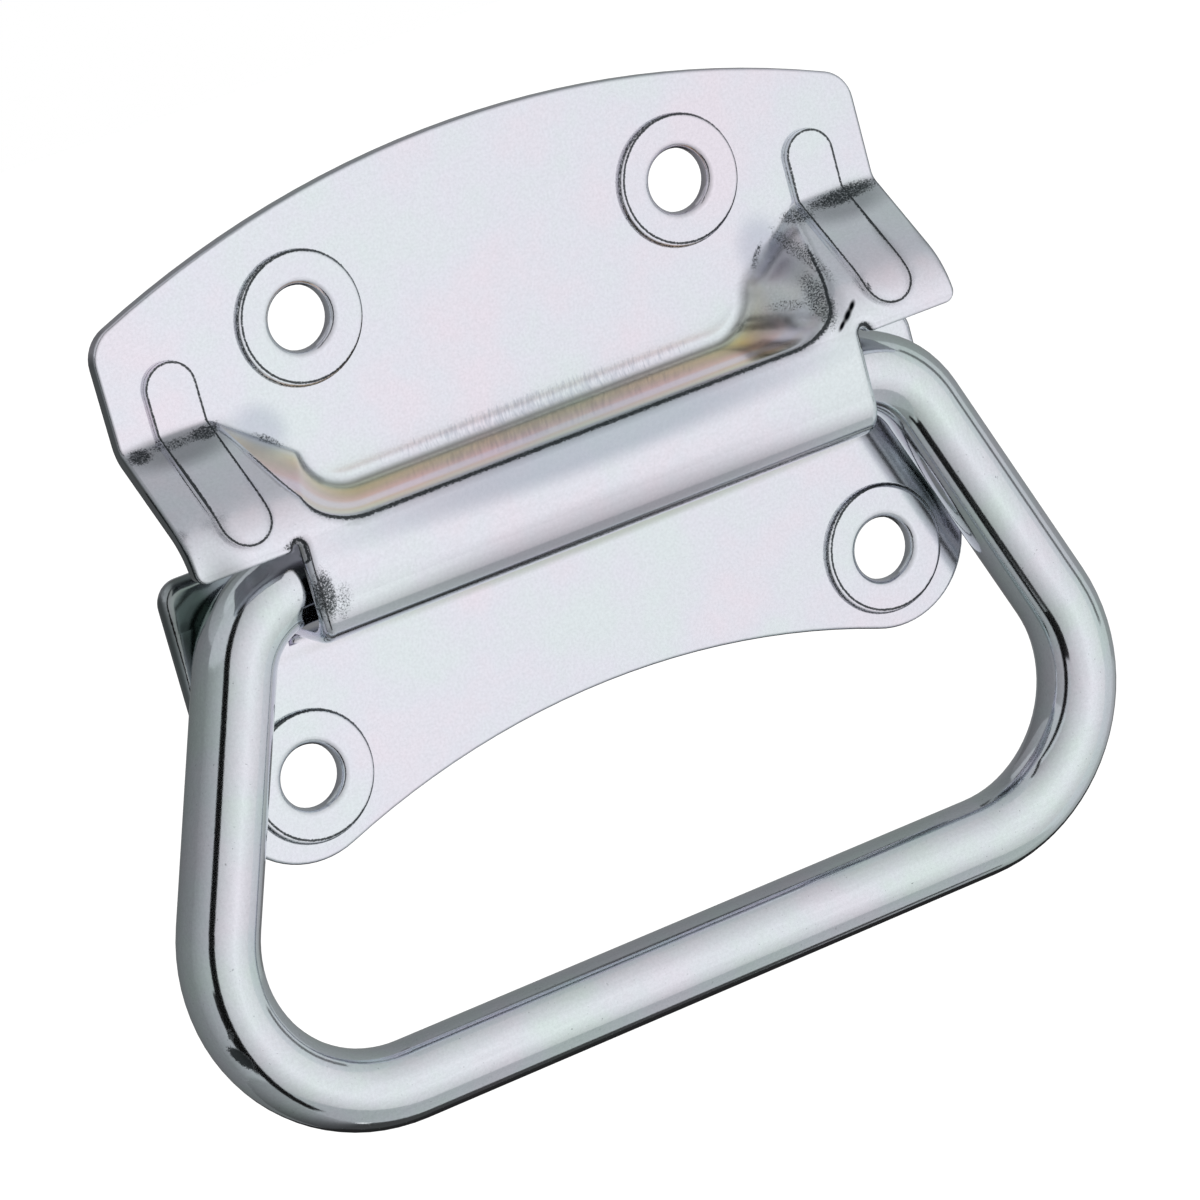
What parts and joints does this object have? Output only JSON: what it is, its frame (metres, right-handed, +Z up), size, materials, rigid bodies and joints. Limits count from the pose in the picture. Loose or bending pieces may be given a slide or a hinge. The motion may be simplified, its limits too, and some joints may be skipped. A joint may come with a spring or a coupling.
{
  "type": "chest handle",
  "caption": "Surface-mounted chest handle: a bent steel rod bail that swings up to a right angle in the channel of a pressed sheet-steel mounting plate.",
  "frame": {"origin": "midway between the two upper screw holes, on the plane of the wall that the plate's back lies on", "axes": "+X across the handle to the right as seen from the front, +Z up with the bail hanging towards -Z, +Y into the wall, so the front faces -Y"},
  "size_m": [0.088, 0.0103, 0.0752],
  "materials": {
    "plate_steel": "bright zinc plated pressed sheet steel",
    "rod_steel": "bright zinc plated drawn steel rod"
  },
  "bodies": {
    "plate": {"mounting_plate": "plate_steel"},
    "swinging_bail": {"bail": "rod_steel"}
  },
  "joints": [
    {"name": "bail_swing", "type": "hinge", "parent": "plate", "child": "swinging_bail", "pos_m": [0, -0.00487, -0.0192], "axis": [-1, 0, 0], "range_deg": [0, 90]}
  ]
}
